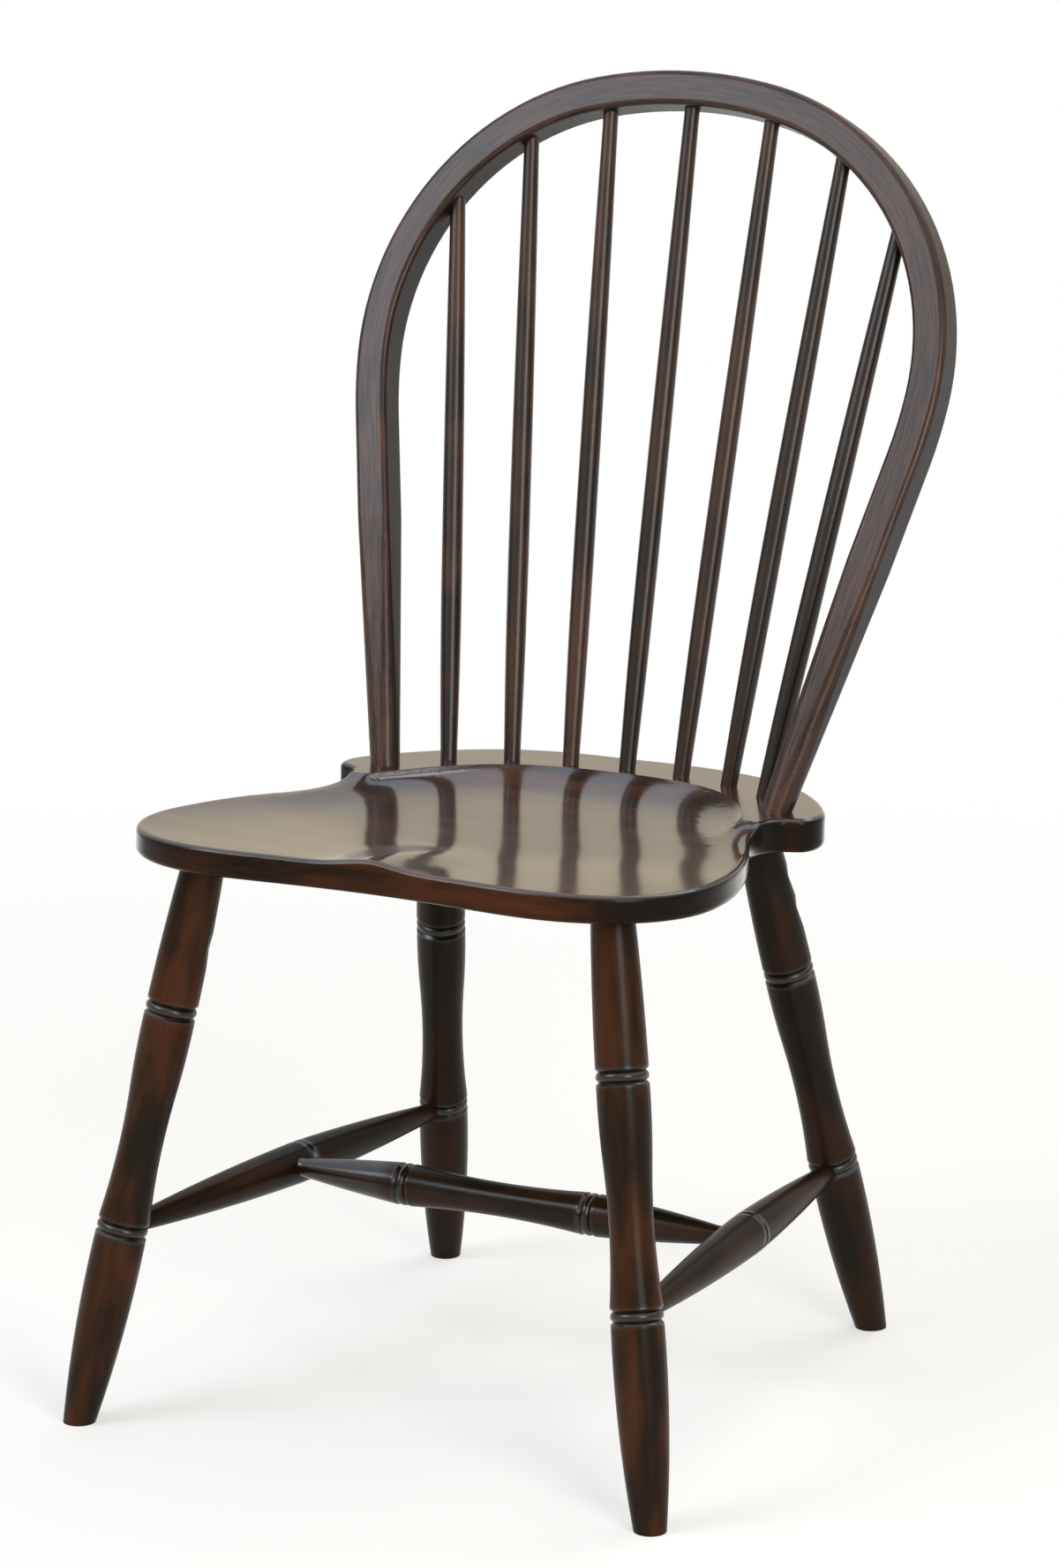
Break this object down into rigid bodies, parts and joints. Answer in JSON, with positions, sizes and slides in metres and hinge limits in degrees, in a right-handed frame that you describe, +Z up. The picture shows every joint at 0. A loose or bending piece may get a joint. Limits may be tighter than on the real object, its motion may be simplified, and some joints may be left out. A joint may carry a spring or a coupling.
{
  "type": "bow-back side chair",
  "caption": "Bow-back wooden side chair: saddled plank seat, splayed turned legs joined by an H stretcher, and a bent bow filled with plain spindles.",
  "frame": {"origin": "on the floor, at the middle of the chair's bounding box", "axes": "+Z up; the chair faces -Y; its left side is -X and its right side +X, as seen from the front by someone looking along +Y"},
  "size_m": [0.5022, 0.5626, 0.9683],
  "materials": {
    "seat_wood": "dark brown stain under semi-gloss lacquer",
    "bent_wood": "dark brown stain under semi-gloss lacquer, open straight grain",
    "turned_wood": "near-black brown stain under semi-gloss lacquer, rubbed through on the swells",
    "wedge_wood": "sawn, stained with the rest"
  },
  "bodies": {
    "root": {"seat": "seat_wood", "bow": "bent_wood", "bow_wedge_left": "wedge_wood", "bow_wedge_right": "wedge_wood", "centre_stretcher": "turned_wood", "spindle_1": "bent_wood", "spindle_2": "bent_wood", "spindle_3": "bent_wood", "spindle_4": "bent_wood", "spindle_5": "bent_wood", "spindle_6": "bent_wood", "spindle_7": "bent_wood", "side_stretcher_left": "turned_wood", "leg_front_left": "turned_wood", "leg_rear_left": "turned_wood", "side_stretcher_right": "turned_wood", "leg_front_right": "turned_wood", "leg_rear_right": "turned_wood"}
  },
  "joints": []
}
